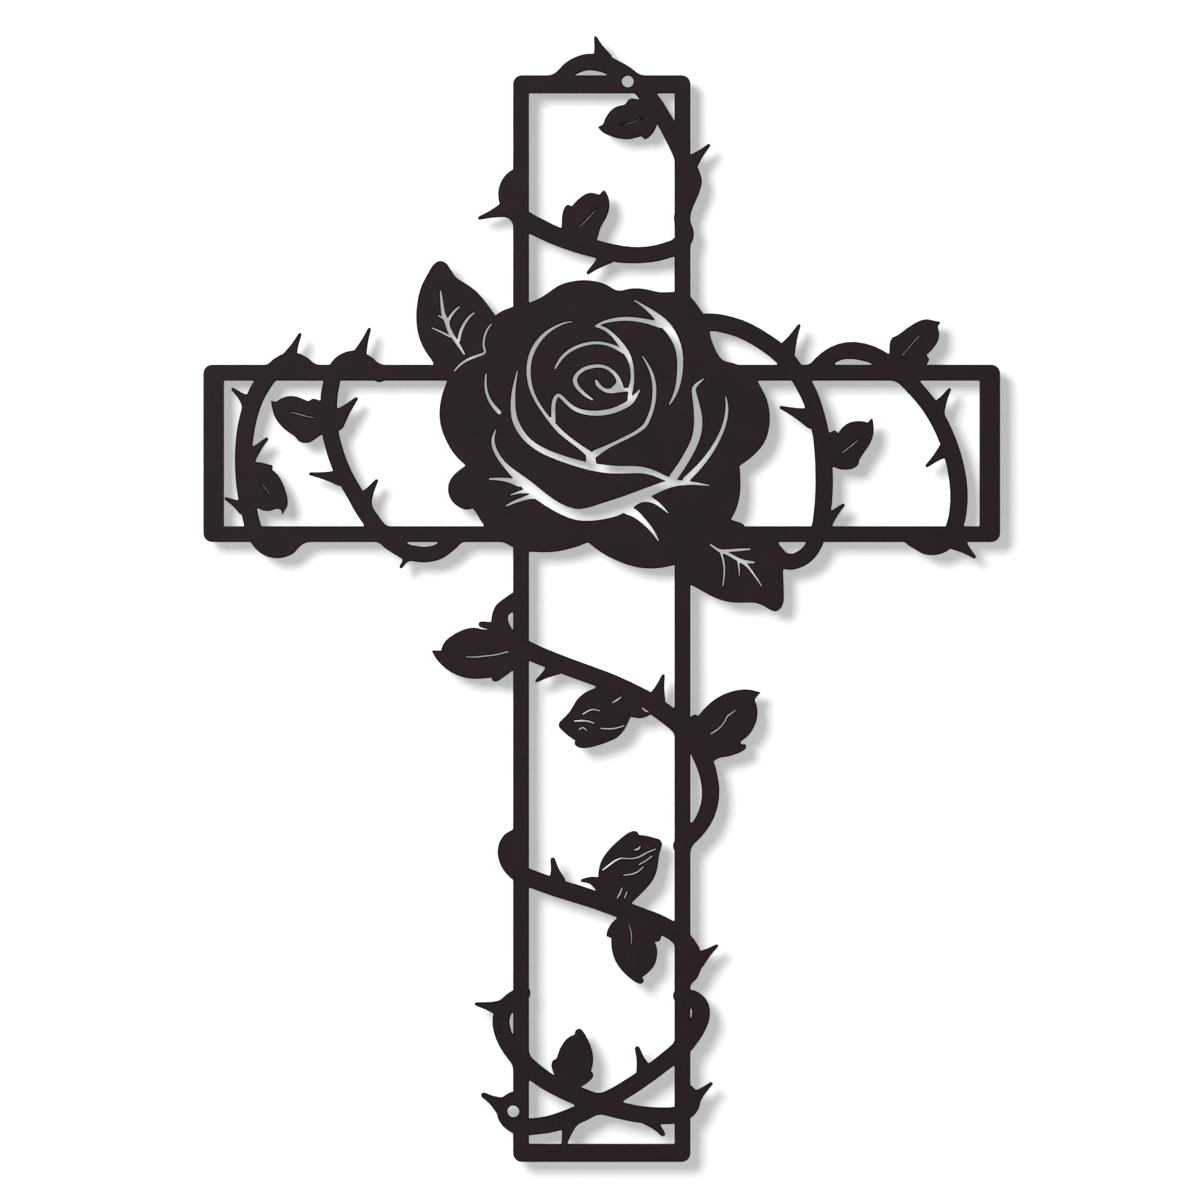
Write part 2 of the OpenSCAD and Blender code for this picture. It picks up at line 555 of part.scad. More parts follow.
// The leaf above the left arm and the leaf below the right arm, tucked under the petals
upper_leaf_runs = [
    [[-67.5, 33], [-67.3, 36], [-69.6, 39.5], [-71.8, 43], [-73.6, 48], [-74.3, 54], [-73.9, 60],
        [-72.6, 66], [-70.1, 71], [-67.7, 75], [-65.8, 76.7], [-63.8, 76.9], [-61.7, 75.5],
        [-60, 72.7], [-58.3, 70.2]],
    [[-58.3, 70.2], [-54.5, 67.9], [-50.5, 65.2], [-47.5, 61.8], [-44.6, 58], [-42.2, 54.5]],
    [[-40, 45], [-50, 34]]
];
lower_leaf_runs = [
    [[30, -49], [35.2, -52.3], [39, -54.3], [43, -56.6], [47, -58.5], [52, -59.7], [57, -59.7],
        [61, -59.6]],
    [[61, -59.6], [64, -60.5], [67, -62.3], [69.5, -63.2], [71.5, -62], [72.8, -59],
        [72.8, -55], [72.6, -50], [72.5, -46.8], [74.5, -42.5], [73.9, -40], [70.8, -36.3]],
    [[70.8, -33], [45, -33], [30, -40]]
];

// Slits between the petals, each as [x, y, width] points
petal_slits = [
    [[-12, 52.7, 0.5], [-15, 52.3, 0.8], [-20, 50, 1.2], [-24, 46.8, 1.7], [-27.4, 42, 1.9],
        [-29.1, 37, 1.8], [-29.4, 32, 1.8], [-28.6, 26.5, 1.5], [-26.3, 21, 1.3],
        [-22.5, 15.5, 1.3], [-20, 12.5, 1.8], [-17, 9, 2], [-13, 5.7, 1.8], [-9, 2.8, 1.8],
        [-5.8, 0.4, 2.4], [-4.5, -1.2, 3.8], [-4.2, -4, 4]],
    [[-19.3, 12.5, 1.7], [-19.4, 18, 1.7], [-18.8, 21.8, 1.6], [-17.5, 23.3, 1.5],
        [-15.5, 22, 1.5], [-13, 19.3, 1.6], [-10, 17.3, 1.8], [-6, 16.3, 2], [-2, 16, 2.2],
        [3, 16.6, 2.3], [7, 18, 2.3], [10.5, 19.8, 2.5],
        [12.4, 21.7, 2.4], [13.8, 23.5, 1.5], [15.1, 25.4, 0.6]],
    [[-2.3, 51, 1], [0.5, 52.5, 1.2], [5, 53.6, 1.6], [10, 54, 1.7], [15, 53.5, 1.8],
        [19.5, 52.6, 2], [23.5, 51.4, 2.6]],
    [[13, 61.3, 0.5], [16.8, 59, 1.2], [20.7, 56, 2.3], [24.6, 52.5, 3.8], [28, 48.4, 3.4],
        [30.5, 43.5, 2.8], [31.5, 38, 2.6], [31.2, 31, 2.2], [30.1, 25.5, 1.6], [28.3, 21.5, 1.1],
        [27, 19.5, 0.5]],
    [[-2.3, 51, 1], [1.3, 50, 1.4], [4.8, 47.2, 1.6], [7.8, 43.4, 2.2], [9.6, 40.8, 2.4],
        [11, 38.2, 2], [12, 35, 1.6], [12.3, 31.5, 1.5], [12.2, 28.8, 1.6], [11.6, 26, 2.1],
        [11.3, 23.6, 1.6], [11.4, 21.7, 2.4]],
    [[-18.7, 34, 0.8], [-16.6, 37.8, 1.3], [-13.1, 41.2, 1.4], [-8, 43.5, 1.4], [-3, 44.4, 1.3],
        [1, 44.1, 1.2], [5, 42.8, 1.4], [8.8, 40.8, 2]],
    [[-3.7, 21.5, 0.8], [-7, 23.6, 1.5], [-9.8, 26.6, 1.7], [-10.8, 29.4, 1.8],
        [-9.5, 32, 1.6], [-6.3, 34.2, 1.6], [-2.5, 35.1, 1.5], [0.6, 34.9, 1.4],
        [3.1, 33.8, 1.4], [5.1, 32.1, 1.5], [6.4, 30.2, 1.7], [7.2, 28, 2.2], [7.8, 25.6, 2.4]],
    [[-2.2, 29, 1.2], [-1.7, 27.7, 1.7], [-0.4, 26.3, 1.6], [1.5, 25.2, 1.6], [4.5, 25.1, 2.2],
        [7.5, 25.5, 1.9], [9.8, 25.5, 1.5], [11.4, 25.5, 1.9]],
    [[3.6, 25.1, 1.7], [6, 26.5, 2.6], [7.1, 28.4, 2.2]],
    [[16.3, 39, 0.5], [18.5, 35.5, 1], [20.5, 31, 1.4], [21.2, 26, 1.6], [20.8, 20, 1.6],
        [19.3, 15, 1.6], [17.3, 11, 1.7], [14, 8.5, 1.5], [10, 6.4, 1.4], [5, 4, 1.4],
        [1, 2, 1.7], [-2.5, 0, 3]],
    [[-33.8, 33, 0.5], [-34.6, 29, 1], [-35.3, 25, 1.5], [-35.6, 20, 2], [-35.3, 15, 2.3],
        [-33.6, 10.5, 2.4], [-31, 6.5, 2.3], [-27, 3, 2.3], [-22, 0.3, 2.5], [-17, -1.6, 2.6],
        [-12, -3.3, 2.7], [-7, -4.7, 3], [-2, -5.7, 3.3], [3, -6.4, 3.3], [8, -6.6, 3.1],
        [13, -6.4, 3], [17, -6.7, 2.6], [21, -7.8, 2.3], [25, -9.7, 2], [28, -10.9, 2]],
    [[40.8, 29.9, 0.5], [38.4, 28, 1.3], [36.9, 26.1, 1.6], [37, 24, 1.9], [37.8, 20, 2.5],
        [38.6, 15, 3.3], [38.6, 10, 3.5], [37.4, 5, 3.2], [34.9, 0, 3.3], [31.9, -5, 3.2],
        [28.6, -9.7, 3.4]],
    [[49.6, 22.8, 0.5], [50.2, 19, 1.2], [49.9, 15, 1.4], [48.8, 10.5, 1.5], [46.8, 6, 1.6],
        [44.3, 1.5, 1.8], [41, -3, 2], [37.4, -7, 2.3], [33.6, -10.6, 2.6]],
    [[43, -12.8, 0.5], [39, -12.2, 1], [35, -11.8, 1.6], [30, -11.7, 2.4], [25, -12.8, 3.2],
        [20, -14.9, 3.8], [15, -17.2, 4.6], [10, -19.8, 6], [5, -21.9, 6.8], [0, -23.3, 6.5],
        [-5, -24.4, 5.4], [-10, -24.6, 4.6], [-15, -23, 4], [-20, -20.3, 4], [-25, -16.7, 4.4],
        [-30, -12.6, 4.4], [-34, -9.2, 3.4], [-38, -5.5, 2], [-41, -2, 1.6], [-43, 2, 1.6],
        [-43.6, 6, 1.3], [-42.5, 9.5, 0.5]],
    [[-45, -10.2, 0.8], [-41, -10.2, 1.2], [-37, -10.7, 1.9], [-33, -12, 2.8]],
    [[-36.5, -16.6, 0.5], [-33.5, -15.6, 1], [-30.8, -15.1, 1.8], [-28, -15, 2.4]],
    [[-38.3, -21, 0.6], [-35.5, -19.6, 1.2], [-32, -18.3, 1.4], [-28.5, -17.2, 2], [-26, -17, 2.6]],
    [[16, -17.8, 3.6], [18.8, -18.1, 2.6], [21.5, -19.4, 1.7], [24, -21.3, 1.2], [26.5, -23.8, 0.5]],
    [[10.5, -22.6, 4], [14, -24.4, 2.9], [18.4, -28.7, 1.9], [21, -32, 1.3], [22.7, -35, 0.5]],
    [[-46.3, 31.8, 0.7], [-46.6, 28, 1], [-46.2, 24.5, 1.1], [-44.8, 21, 1.3],
        [-42.8, 18.3, 1.6], [-41, 16.4, 1.8]],
    [[-44.2, 51.8, 0.6], [-46, 49.5, 0.9], [-47.2, 46, 0.9], [-47.3, 43, 0.9],
        [-46.7, 40.6, 1], [-50, 39, 1.2], [-54, 37.5, 1.2], [-57, 35.3, 1], [-59, 33, 0.7]]
];

// Veins of the rose's two leaves, the main vein first
upper_leaf_veins = [
    [[-55, 39.7, 0.8], [-57, 43, 1.3], [-59, 46, 1.5], [-61, 49, 1.6], [-62, 52.5, 1.8],
        [-63.5, 56, 1.6], [-64, 60, 1.3], [-64.5, 65, 0.7]],
    [[-61.8, 52.5, 1.2], [-60.5, 55, 1.2], [-58.5, 57.5, 1], [-57, 58.7, 0.7]],
    [[-57.3, 45, 1.3], [-56.5, 49, 1.3], [-55, 52, 1.2], [-53, 54.8, 1], [-51, 56.3, 0.7]],
    [[-60.5, 46.7, 0.9], [-64, 48.5, 0.9], [-68, 50.3, 0.6]],
    [[-63, 54, 0.9], [-65.5, 55.2, 0.6]]
];
lower_leaf_veins = [
    [[43.5, -36.5, 0.8], [47, -39, 1.1], [50, -39.9, 1.3], [54, -42.1, 1.4], [58, -44.6, 1.1],
        [61, -48.5, 0.8], [64, -53, 0.5]],
    [[47, -39, 1], [51, -38.9, 1.2], [55.5, -38.5, 1.1], [59.5, -38.3, 0.6]],
    [[47.7, -39.6, 1], [49, -44, 0.8], [49.1, -48, 0.7], [48.5, -53, 0.5]],
    [[54.5, -42.5, 0.9], [55.1, -47, 0.6], [55, -51, 0.4]],
    [[54.5, -42.3, 1.3], [57, -43.3, 1.5], [61, -43.6, 0.8]]
];

function rose_runs(runs) = [for (run = runs) [for (p = run) on_rose(p)]];

module rose_slits(paths) {
    for (path = paths) band([for (p = path) on_rose(p)]);
}

module rose() {
    difference() {
        union() {
            shape(rose_runs(petal_runs));
            shape(rose_runs(upper_leaf_runs));
            shape(rose_runs(lower_leaf_runs));
        }
        rose_slits(petal_slits);
        rose_slits(upper_leaf_veins);
        rose_slits(lower_leaf_veins);
    }
}

// ---- The plate ----

module foot_lug() {
    translate(foot_hole) circle(d = hole_d + 2 * lug_wall, $fn = corner_fn);
}

module vines_and_leaves() {
    difference() {
        union() {
            top_vines();
            top_leaves();
            left_vines();
            left_leaves();
            right_vines();
            right_leaves();
            lower_vines();
            lower_thorns();
            lower_leaves();
        }
        top_veins();
        left_veins();
        right_veins();
        lower_veins();
    }
}

// Bars and vines pass under the rose, so they stop at its edge
module pattern() {
    difference() {
        union() {
            frame_bars();
            vines_and_leaves();
            foot_lug();
        }
        shape(rose_runs(petal_runs));
    }
    rose();
}

module rose_cross_plate() {
    color(steel)
        translate([-top_hole.x, 0, -top_hole.y])
            rotate([90, 0, 0])
                difference() {
                    linear_extrude(height = plate_t) offset(delta = coat_t) pattern();
                    for (hole = [top_hole, foot_hole])
                        translate([hole.x, hole.y, -cut_past])
                            cylinder(d = hole_d, h = plate_t + 2 * cut_past, $fn = bore_fn);
                }
}

rose_cross_plate();
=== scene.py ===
"""Rose and vine wall cross: a powder-coated openwork plate, hung on a pale studio wall.

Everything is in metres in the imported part's frame: x to the right, z up, the front towards
-y and the back in the plane y = 0, with the origin at the top hanging hole.
"""

import json
import logging
import math
from dataclasses import dataclass, field
from enum import Enum
from typing import Any, Optional, Sequence, Union

import bmesh
import bpy
import numpy as np
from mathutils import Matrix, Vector

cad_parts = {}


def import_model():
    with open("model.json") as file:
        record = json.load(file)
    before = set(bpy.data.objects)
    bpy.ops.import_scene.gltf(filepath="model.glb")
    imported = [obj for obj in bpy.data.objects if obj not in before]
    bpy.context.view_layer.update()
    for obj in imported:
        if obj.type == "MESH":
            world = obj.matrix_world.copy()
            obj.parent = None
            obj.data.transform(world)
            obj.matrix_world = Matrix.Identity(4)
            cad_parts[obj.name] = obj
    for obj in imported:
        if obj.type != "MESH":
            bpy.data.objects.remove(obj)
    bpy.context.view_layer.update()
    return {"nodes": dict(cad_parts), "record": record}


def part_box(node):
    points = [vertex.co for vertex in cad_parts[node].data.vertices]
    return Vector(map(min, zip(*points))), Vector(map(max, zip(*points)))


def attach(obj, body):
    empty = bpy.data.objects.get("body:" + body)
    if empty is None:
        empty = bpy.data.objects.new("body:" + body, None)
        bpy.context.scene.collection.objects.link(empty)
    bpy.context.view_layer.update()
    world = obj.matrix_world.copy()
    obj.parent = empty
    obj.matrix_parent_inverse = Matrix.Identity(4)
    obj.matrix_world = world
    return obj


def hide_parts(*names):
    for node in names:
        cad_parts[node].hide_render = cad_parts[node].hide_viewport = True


log = logging.getLogger("wall_cross")

MM = 0.001
BODY = "root"
PLATE_NODE = "rose_cross_plate"
NEARLY_ZERO = 1e-9

Value = Union[float, int, "Signal"]
Colour = tuple[float, float, float]


class Face(Enum):
    """The two flat sides of the plate."""

    FRONT = "front"
    BACK = "back"


# ---- Nodes written as expressions ----


class Port:
    """Numbers of the sockets that are picked by number, node by node."""

    COORDINATES_OBJECT = 3
    ATTRIBUTE_VALUE = 2
    SEPARATE_Y = 1
    PATH_CAMERA_RAY = 0
    PATH_GLOSSY_RAY = 3
    GEOMETRY_BACKFACING = 6
    MIX_SHARE = 0
    MIX_FIRST_COLOUR = 6
    MIX_SECOND_COLOUR = 7
    MIX_COLOUR = 2


class Signal:
    """A node's output socket, on which Python's operators add Math nodes."""

    def __init__(self, graph: "Graph", socket: bpy.types.NodeSocket) -> None:
        """Wraps a socket.

        Args:
            graph: The tree the socket belongs to.
            socket: The output socket.
        """
        self.graph = graph
        self.socket = socket

    def _math(self, operation: str, *values: Value) -> "Signal":
        """Adds a Math node.

        Args:
            operation: The node's operation.
            values: Its inputs, in order.

        Returns:
            The node's result.
        """
        inputs = dict(enumerate(values))
        return self.graph.node("ShaderNodeMath", {"operation": operation}, inputs)[0]

    def __add__(self, other: Value) -> "Signal":
        """Sum."""
        return self._math("ADD", self, other)

    def __radd__(self, other: Value) -> "Signal":
        """Sum, from the right."""
        return self._math("ADD", other, self)

    def __sub__(self, other: Value) -> "Signal":
        """Difference."""
        return self._math("SUBTRACT", self, other)

    def __rsub__(self, other: Value) -> "Signal":
        """Difference, from the right."""
        return self._math("SUBTRACT", other, self)

    def __mul__(self, other: Value) -> "Signal":
        """Product."""
        return self._math("MULTIPLY", self, other)

    def __rmul__(self, other: Value) -> "Signal":
        """Product, from the right."""
        return self._math("MULTIPLY", other, self)

    def __truediv__(self, other: Value) -> "Signal":
        """Quotient."""
        return self._math("DIVIDE", self, other)

    def __gt__(self, other: Value) -> "Signal":
        """1 where this is larger, and 0 elsewhere."""
        return self._math("GREATER_THAN", self, other)

    def least(self, other: Value) -> "Signal":
        """The smaller of the two."""
        return self._math("MINIMUM", self, other)

    def largest(self, other: Value) -> "Signal":
        """The larger of the two."""
        return self._math("MAXIMUM", self, other)

    def sine(self) -> "Signal":
        """Sine, of an angle in radians."""
        return self._math("SINE", self)

    def cosine(self) -> "Signal":
        """Cosine, of an angle in radians."""
        return self._math("COSINE", self)


class Graph:
    """A node tree of any kind, with one way to add a node."""

    def __init__(self, tree: bpy.types.NodeTree) -> None:
        """Keeps the tree.

        Args:
            tree: A shader, world or geometry tree.
        """
        self.tree = tree

    def node(
        self,
        kind: str,
        settings: Optional[dict[str, Any]] = None,
        inputs: Optional[dict[Union[str, int], Any]] = None,
    ) -> list[Signal]:
        """Adds a node.

        Args:
            kind: The node's type.
            settings: Its own properties, set first.
            inputs: Values or signals, by the socket's name or number. A list links each of its
                signals to the same socket.

        Returns:
            A signal for each output socket.
        """
        made = self.tree.nodes.new(kind)
        for name, value in (settings or {}).items():
            setattr(made, name, value)
        for name, value in (inputs or {}).items():
            socket = made.inputs[name]
            for item in value if isinstance(value, list) else [value]:
                if isinstance(item, Signal):
                    self.tree.links.new(item.socket, socket)
                else:
                    socket.default_value = item
        return [Signal(self, output) for output in made.outputs]

    def link(self, signal: Signal, kind: str, socket: str) -> None:
        """Links a signal to the tree's own output node.

        Args:
            signal: What is linked.
            kind: The output node's type.
            socket: The name of its input.
        """
        found = [n for n in self.tree.nodes if n.bl_idname == kind]
        target = found[0] if found else self.tree.nodes.new(kind)
        self.tree.links.new(signal.socket, target.inputs[socket])


# ---- Finishes ----


def new_material(name: str) -> tuple[bpy.types.Material, Graph]:
    """Makes an empty node material.

    Args:
        name: The material's name.

    Returns:
        The material and its tree.
    """
    material = bpy.data.materials.new(name)
    material.use_nodes = True
    material.node_tree.nodes.clear()
    return material, Graph(material.node_tree)


@dataclass(frozen=True)
class PowderCoat:
    """Dark brown-black powder coat, baked on: satin, with a fine pebbled skin and painted shade on
    its rounded edges.

    Attributes:
        name: The material's name.
        brown: The warm tone of the coat.
        black: The cool tone of the coat.
        edge_painted_shade: The colour of the painted shade that darkens the rounded edges.
        speck_tone: The tone of the fine pale specks.
        tint_start: The broad noise's value below which the coat is black.
        tint_gain: How fast the broad noise turns it brown.
        pebble_tint: How far the pebbled skin shifts the tone.
        speck_start: The fine noise's value above which specks show.
        speck_gain: How fast they brighten.
        roughness: The mean roughness.
        roughness_swing: How far it varies.
        edge_shade_share: How much of the painted shade the rounded edges take.
        edge_roughness: How much rougher they are.
        edge_reach: How far from a face the edge tone fades out.
        specular: The strength of its reflections.
        patch_size: The size of the broad patches.
        pebble_size: The size of the pebbles.
        grain_size: The size of the finest grain.
        kerf_size: The spacing of the cutting lines.
        kerf_stretch: Their width over their length.
        pebble_height: The height of the pebbles.
        grain_height: The height of the grain.
        kerf_height: The height of the cutting lines.
    """

    name: str = "brown_black_powder_coat"
    brown: Colour = (0.0190, 0.0092, 0.0106)
    black: Colour = (0.0140, 0.0090, 0.0088)
    # Painted shade: the rounded edges are darkened to this colour, which stands in for the shade
    # along them.
    edge_painted_shade: Colour = (0.0030, 0.0026, 0.0026)
    speck_tone: Colour = (0.036, 0.030, 0.030)
    tint_start: float = 0.36
    tint_gain: float = 3.2
    pebble_tint: float = 0.8
    speck_start: float = 0.6
    speck_gain: float = 2.5
    roughness: float = 0.60
    roughness_swing: float = 0.07
    edge_shade_share: float = 0.85
    edge_roughness: float = 0.2
    edge_reach: float = 0.4 * MM
    specular: float = 0.08
    patch_size: float = 14 * MM
    pebble_size: float = 0.9 * MM
    grain_size: float = 0.32 * MM
    kerf_size: float = 0.45 * MM
    kerf_stretch: float = 0.06
    pebble_height: float = 0.022 * MM
    grain_height: float = 0.007 * MM
    kerf_height: float = 0.03 * MM

    def build(self, thickness: float) -> bpy.types.Material:
        """Makes the material.

        Args:
            thickness: The plate's thickness.

        Returns:
            The finished material.
        """
        material, graph = new_material(self.name)
        place = graph.node("ShaderNodeTexCoord")[Port.COORDINATES_OBJECT]
        marks = graph.node("ShaderNodeAttribute", {"attribute_name": PlateForm.RIM})
        rim = marks[Port.ATTRIBUTE_VALUE]
        patches = self._noise(graph, place, self.patch_size, detail=3.0)
        pebbles = self._noise(graph, place, self.pebble_size, detail=1.0)
        grain = self._noise(graph, place, self.grain_size, detail=2.0)
        # The rounded edges' mask: it lays the painted shade and a rougher finish on them.
        edge = self._edge(graph, place, thickness) * rim
        colour = self._colour(graph, patches, pebbles, grain, edge)
        rough = self.roughness + (patches - 0.5) * self.roughness_swing
        rough = rough + (pebbles - 0.5) * self.roughness_swing + edge * self.edge_roughness
        height = pebbles * self.pebble_height + grain * self.grain_height
        height = height + self._kerf(graph, place) * rim * self.kerf_height
        bump = graph.node(
            "ShaderNodeBump", inputs={"Strength": 1.0, "Distance": 1.0, "Height": height}
        )[0]
        surface = graph.node(
            "ShaderNodeBsdfPrincipled",
            inputs={
                "Base Color": colour,
                "Roughness": rough,
                "Specular IOR Level": self.specular,
                "Normal": bump,
            },
        )[0]
        graph.link(surface, "ShaderNodeOutputMaterial", "Surface")
        return material

    @staticmethod
    def _noise(graph: Graph, place: Signal, size: float, detail: float) -> Signal:
        """Even noise with grains of a given size.

        Args:
            graph: The material's tree.
            place: Coordinates, in metres.
            size: About the distance from one grain to the next.
            detail: How much finer noise is laid over it.

        Returns:
            The noise, from 0 to 1.
        """
        values = {"Vector": place, "Scale": 1 / size, "Detail": detail}
        return graph.node("ShaderNodeTexNoise", inputs=values)[0]

    def _edge(self, graph: Graph, place: Signal, thickness: float) -> Signal:
        """How near the plate's two faces a point lies, which picks out its rounded edges for the
        painted shade and their rougher finish.

        Args:
            graph: The material's tree.
            place: Coordinates, in metres.
            thickness: The plate's thickness.

        Returns:
            1 within half of the edges' reach of a face, fading to 0 at their full reach.
        """
        half = thickness / 2
        y = graph.node("ShaderNodeSeparateXYZ", inputs={0: place})[Port.SEPARATE_Y]
        from_middle = y + half
        from_face = half - from_middle.largest(-1 * from_middle)
        return (2 - from_face * (2 / self.edge_reach)).largest(0.0).least(1.0)

    def _kerf(self, graph: Graph, place: Signal) -> Signal:
        """Fine lines that the cutting beam leaves on a cut edge, straight through the plate.

        Args:
            graph: The material's tree.
            place: Coordinates, in metres.

        Returns:
            The lines' height, from 0 to 1.
        """
        flat = graph.node(
            "ShaderNodeVectorMath",
            {"operation": "MULTIPLY"},
            {0: place, 1: (1.0, self.kerf_stretch, 1.0)},
        )[0]
        return self._noise(graph, flat, self.kerf_size, detail=1.0)

    def _colour(
        self, graph: Graph, patches: Signal, pebbles: Signal, grain: Signal, edge: Signal
    ) -> Signal:
        """The coat's colour: brown and black in soft patches, fine specks, and painted shade on
        the rounded edges.

        Args:
            graph: The material's tree.
            patches: Broad noise.
            pebbles: The noise of the coat's pebbled skin.
            grain: Fine noise.
            edge: 1 on the rounded edges, where the painted shade goes, and 0 on the faces and the
                cut sides.

        Returns:
            The colour.
        """
        tint = (patches - self.tint_start) * self.tint_gain + (pebbles - 0.5) * self.pebble_tint
        brown = self._mix(graph, tint, self.black, self.brown)
        specks = (grain - self.speck_start) * self.speck_gain
        flecked = self._mix(graph, specks.largest(0.0), brown, self.speck_tone)
        # Painted shade: the rounded edges are darkened towards the painted shade colour.
        return self._mix(graph, edge * self.edge_shade_share, flecked, self.edge_painted_shade)

    @staticmethod
    def _mix(
        graph: Graph,
        share: Signal,
        first: Union[Colour, Signal],
        second: Union[Colour, Signal],
    ) -> Signal:
        """Mixes two colours.

        Args:
            graph: The material's tree.
            share: The second colour's share, held between 0 and 1.
            first: The first colour.
            second: The second colour.

        Returns:
            The mixed colour.
        """
        first, second = (c if isinstance(c, Signal) else (*c, 1.0) for c in (first, second))
        settings = {"data_type": "RGBA", "clamp_factor": True}
        inputs = {
            Port.MIX_SHARE: share,
            Port.MIX_FIRST_COLOUR: first,
            Port.MIX_SECOND_COLOUR: second,
        }
        return graph.node("ShaderNodeMix", settings, inputs)[Port.MIX_COLOUR]


@dataclass(frozen=True)
class StudioPaint:
    """Plain matt paint for a wall or floor, which can't be seen from behind.

    Attributes:
        name: The material's name.
        tone: The share of light that it sends back.
        lift: A glow that only the camera and reflections see, which keeps its shadows pale.
    """

    name: str
    tone: float
    lift: float

    def build(self) -> bpy.types.Material:
        """Makes the material.

        Returns:
            The finished material.
        """
        material, graph = new_material(self.name)
        colour = (self.tone, self.tone, self.tone, 1.0)
        inputs = {"Color": colour, "Roughness": 0.0}
        paint = graph.node("ShaderNodeBsdfDiffuse", inputs=inputs)[0]
        rays = graph.node("ShaderNodeLightPath")
        seen = rays[Port.PATH_CAMERA_RAY].largest(rays[Port.PATH_GLOSSY_RAY])
        glow = graph.node("ShaderNodeEmission", inputs={"Strength": seen * self.lift})[0]
        lit = graph.node("ShaderNodeAddShader", inputs={0: paint, 1: glow})[0]
        clear = graph.node("ShaderNodeBsdfTransparent")[0]
        behind = graph.node("ShaderNodeNewGeometry")[Port.GEOMETRY_BACKFACING]
        surface = graph.node("ShaderNodeMixShader", inputs={0: behind, 1: lit, 2: clear})[0]
        graph.link(surface, "ShaderNodeOutputMaterial", "Surface")
        return material


# ---- The plate's outline ----


@dataclass
class Outline:
    """A closed line of the cut pattern, in x and z, with metal on its left as it runs."""

    points: np.ndarray

    FEWEST_POINTS = 4

    @property
    def steps(self) -> np.ndarray:
        """Each point's edge to the next."""
        return np.roll(self.points, -1, axis=0) - self.points

    @property
    def turns(self) -> np.ndarray:
        """The turn at each point, in radians, to the left if positive."""
        after = self.steps
        before = np.roll(after, 1, axis=0)
        cross = before[:, 0] * after[:, 1] - before[:, 1] * after[:, 0]
        return np.arctan2(cross, (before * after).sum(axis=1))

    @property
    def inward(self) -> np.ndarray:
        """The direction into the metal at each point, as the swept line's own tangent gives it."""
        along = self.steps
        along = along / np.linalg.norm(along, axis=1)[:, None]
        tangent = along + np.roll(along, 1, axis=0)
        lengths = np.maximum(np.linalg.norm(tangent, axis=1), NEARLY_ZERO)
        tangent = tangent / lengths[:, None]
        return np.stack([-tangent[:, 1], tangent[:, 0]], axis=1)

    def welded(self, least: float) -> "Outline":
        """Drops points until no edge is shorter than a given length.

        Args:
            least: The shortest edge that may stay.

        Returns:
            The line without its short edges. The sharper of two close points stays.
        """
        line = Outline(self.points)
        while len(line.points) > self.FEWEST_POINTS:
            lengths = np.linalg.norm(line.steps, axis=1)
            shortest = int(lengths.argmin())
            if lengths[shortest] >= least:
                break
            after = (shortest + 1) % len(line.points)
            turns = np.abs(line.turns)
            gone = shortest if turns[shortest] < turns[after] else after
            line = Outline(np.delete(line.points, gone, axis=0))
        return line

    def eased(self, easing: "Easing") -> "Outline":
        """Rounds every corner, broad where the line only bends and tight where it turns sharply.

        Args:
            easing: The radii and the number of edges in each corner.

        Returns:
            The rounded line.
        """
        steps = self.steps
        lengths = np.linalg.norm(steps, axis=1)
        rounded = []
        for i, turn in enumerate(self.turns):
            room = easing.room_share * min(lengths[i - 1], lengths[i])
            half_turn = abs(turn) / 2
            steepest = min(half_turn, easing.most_half_turn)
            reach = min(room, easing.radius_for(abs(turn)) * math.tan(steepest))
            corner = self.points[i]
            if reach < easing.least_reach or half_turn < easing.least_turn:
                rounded.append(corner)
                continue
            start = corner - steps[i - 1] / lengths[i - 1] * reach
            end = corner + steps[i] / lengths[i] * reach
            rounded.extend(self._arc(corner, start, end, half_turn, easing.edges_for(abs(turn))))
        return Outline(np.array(rounded))

    @staticmethod
    def _arc(
        corner: np.ndarray, start: np.ndarray, end: np.ndarray, half_turn: float, edges: int
    ) -> list[np.ndarray]:
        """Points of the arc that leaves one edge and joins the next.

        Args:
            corner: Where the two edges meet.
            start: The arc's first point, on the first edge.
            end: Its last point, on the second edge.
            half_turn: Half the turn between the edges, in radians.
            edges: The number of edges in the arc.

        Returns:
            The points, first and last included.
        """
        weight = math.cos(half_turn)
        points = []
        for k in range(edges + 1):
            t = k / edges
            shares = np.array([(1 - t) ** 2, 2 * t * (1 - t) * weight, t * t])
            points.append((shares @ np.array([start, corner, end])) / shares.sum())
        return points


@dataclass(frozen=True)
class Easing:
    """How the cut line's corners are rounded by the coat and the cutting beam.

    Attributes:
        corner_radius: The radius at a sharp corner.
        bend_radius: The radius at a bend.
        sweep_radius: The radius where the line hardly turns.
        bend_turn: The turn above which a corner is sharp.
        sweep_turn: The turn above which it is a bend.
        edge_turn: The turn that each edge of an arc takes.
        most_edges: The most edges in an arc.
        least_reach: The shortest way along an edge that is worth rounding.
        least_turn: Half the least turn that is worth rounding.
        room_share: The share of each edge that the arc at one of its ends may use.
        most_half_turn: The half turn that reaches are worked out for, at most.
    """

    corner_radius: float = 0.42 * MM
    bend_radius: float = 6 * MM
    sweep_radius: float = 90 * MM
    bend_turn: float = math.radians(50)
    sweep_turn: float = math.radians(22)
    edge_turn: float = math.radians(9)
    most_edges: int = 5
    least_reach: float = 0.01 * MM
    least_turn: float = math.radians(0.4)
    room_share: float = 0.49
    most_half_turn: float = 1.5

    def radius_for(self, turn: float) -> float:
        """The radius wanted at a corner.

        Args:
            turn: The corner's turn, in radians.

        Returns:
            The radius, in metres.
        """
        if turn > self.bend_turn:
            return self.corner_radius
        return self.bend_radius if turn > self.sweep_turn else self.sweep_radius

    def edges_for(self, turn: float) -> int:
        """The number of edges in a corner's arc, from its turn in radians."""
        return max(2, min(self.most_edges, round(turn / self.edge_turn)))


